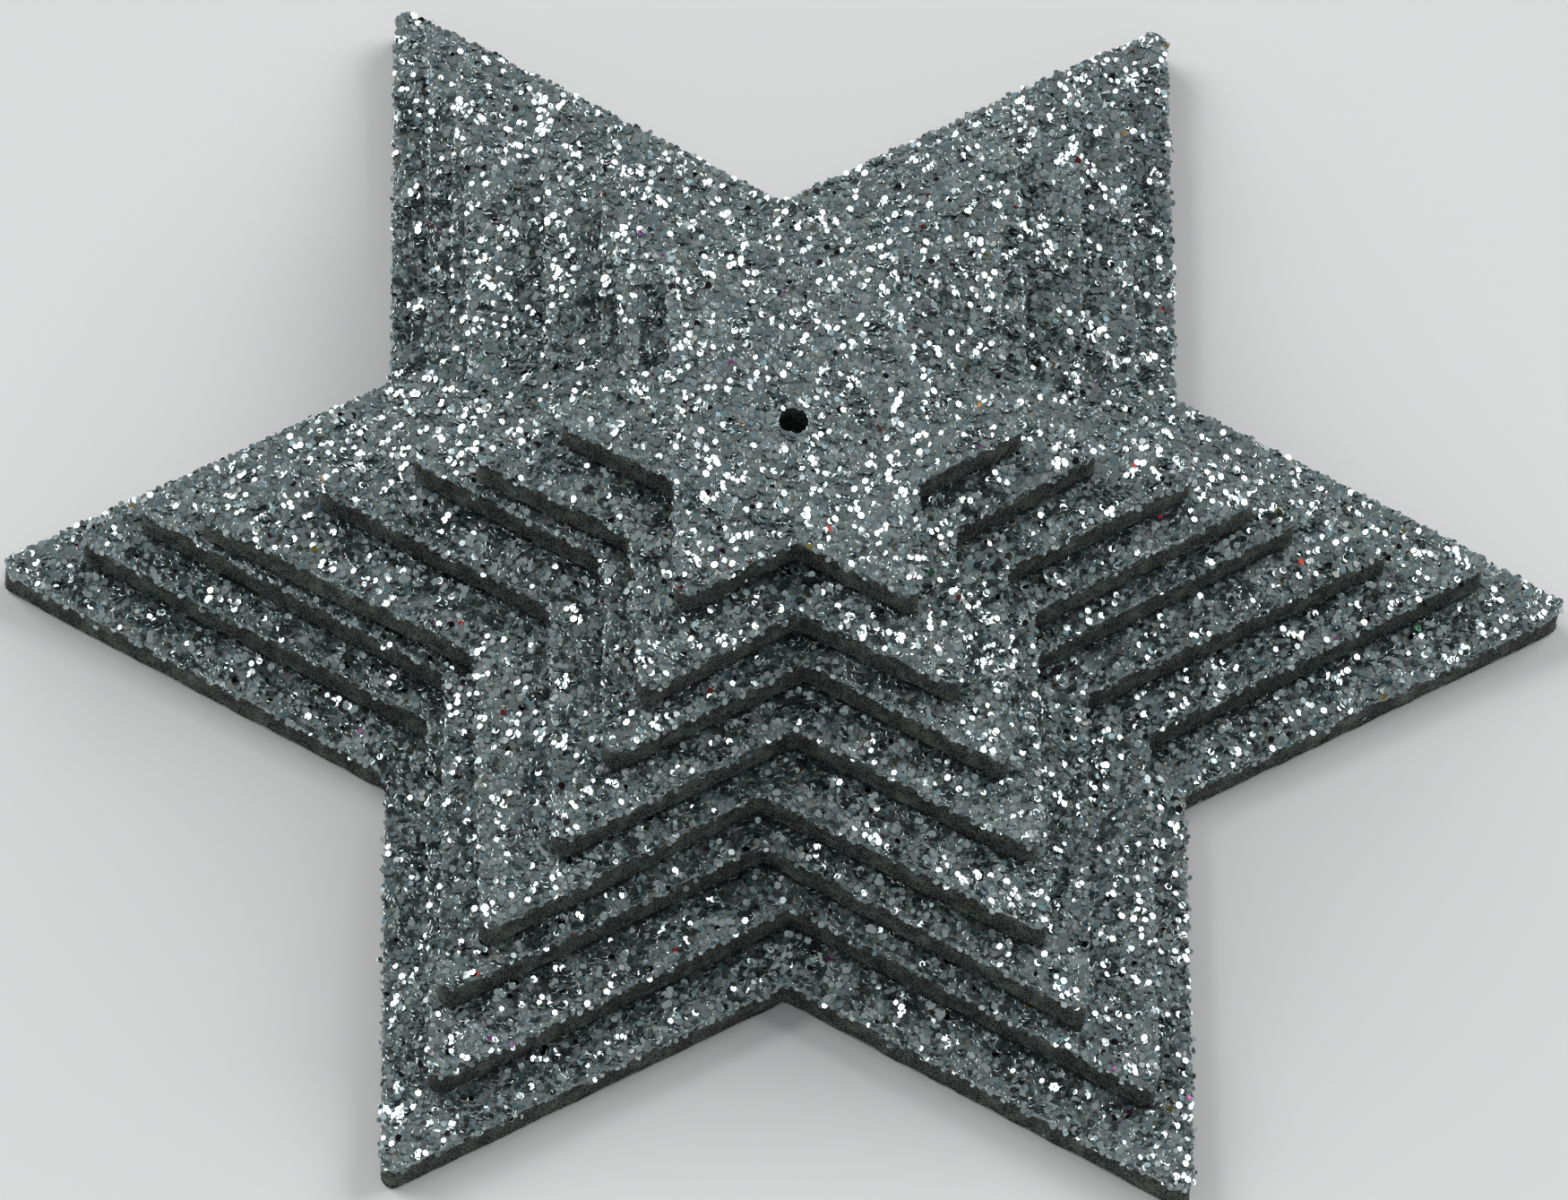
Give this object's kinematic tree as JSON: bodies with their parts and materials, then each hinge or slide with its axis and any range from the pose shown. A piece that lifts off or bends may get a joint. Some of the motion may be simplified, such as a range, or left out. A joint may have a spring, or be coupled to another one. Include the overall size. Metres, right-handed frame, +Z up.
{
  "type": "stacked glitter foam star ornament",
  "caption": "Stepped ornament of hexagram stars cut from dark glitter foam sheet, each smaller than the one below, stuck flat on each other, with a small threading hole in the middle.",
  "frame": {"origin": "centre of the bottom star's underside, which is the face the ornament rests on", "axes": "+X along one tip of the bottom star, +Z up through the stack towards the smallest star"},
  "size_m": [0.0986, 0.0856, 0.0222],
  "materials": {
    "charcoal_foam": "matte closed-cell EVA foam, die cut, charcoal",
    "silver_glitter": "metallised polyester glitter flakes in clear glue, grey silver with a slight teal tint",
    "clear_glue": "dried clear craft glue"
  },
  "bodies": {
    "root": {"foam_star_1": "charcoal_foam", "foam_star_2": "charcoal_foam", "foam_star_3": "charcoal_foam", "foam_star_4": "charcoal_foam", "foam_star_5": "charcoal_foam", "foam_star_6": "charcoal_foam", "foam_star_7": "charcoal_foam", "foam_star_8": "charcoal_foam", "glitter_face_1": "silver_glitter", "glitter_face_2": "silver_glitter", "glitter_face_3": "silver_glitter", "glitter_face_4": "silver_glitter", "glitter_face_5": "silver_glitter", "glitter_face_6": "silver_glitter", "glitter_face_7": "silver_glitter", "glitter_face_8": "silver_glitter", "glue_ring_1": "clear_glue", "glue_ring_2": "clear_glue", "glue_ring_3": "clear_glue", "glue_ring_4": "clear_glue", "glue_ring_5": "clear_glue", "glue_ring_6": "clear_glue", "glue_ring_7": "clear_glue"}
  },
  "joints": []
}
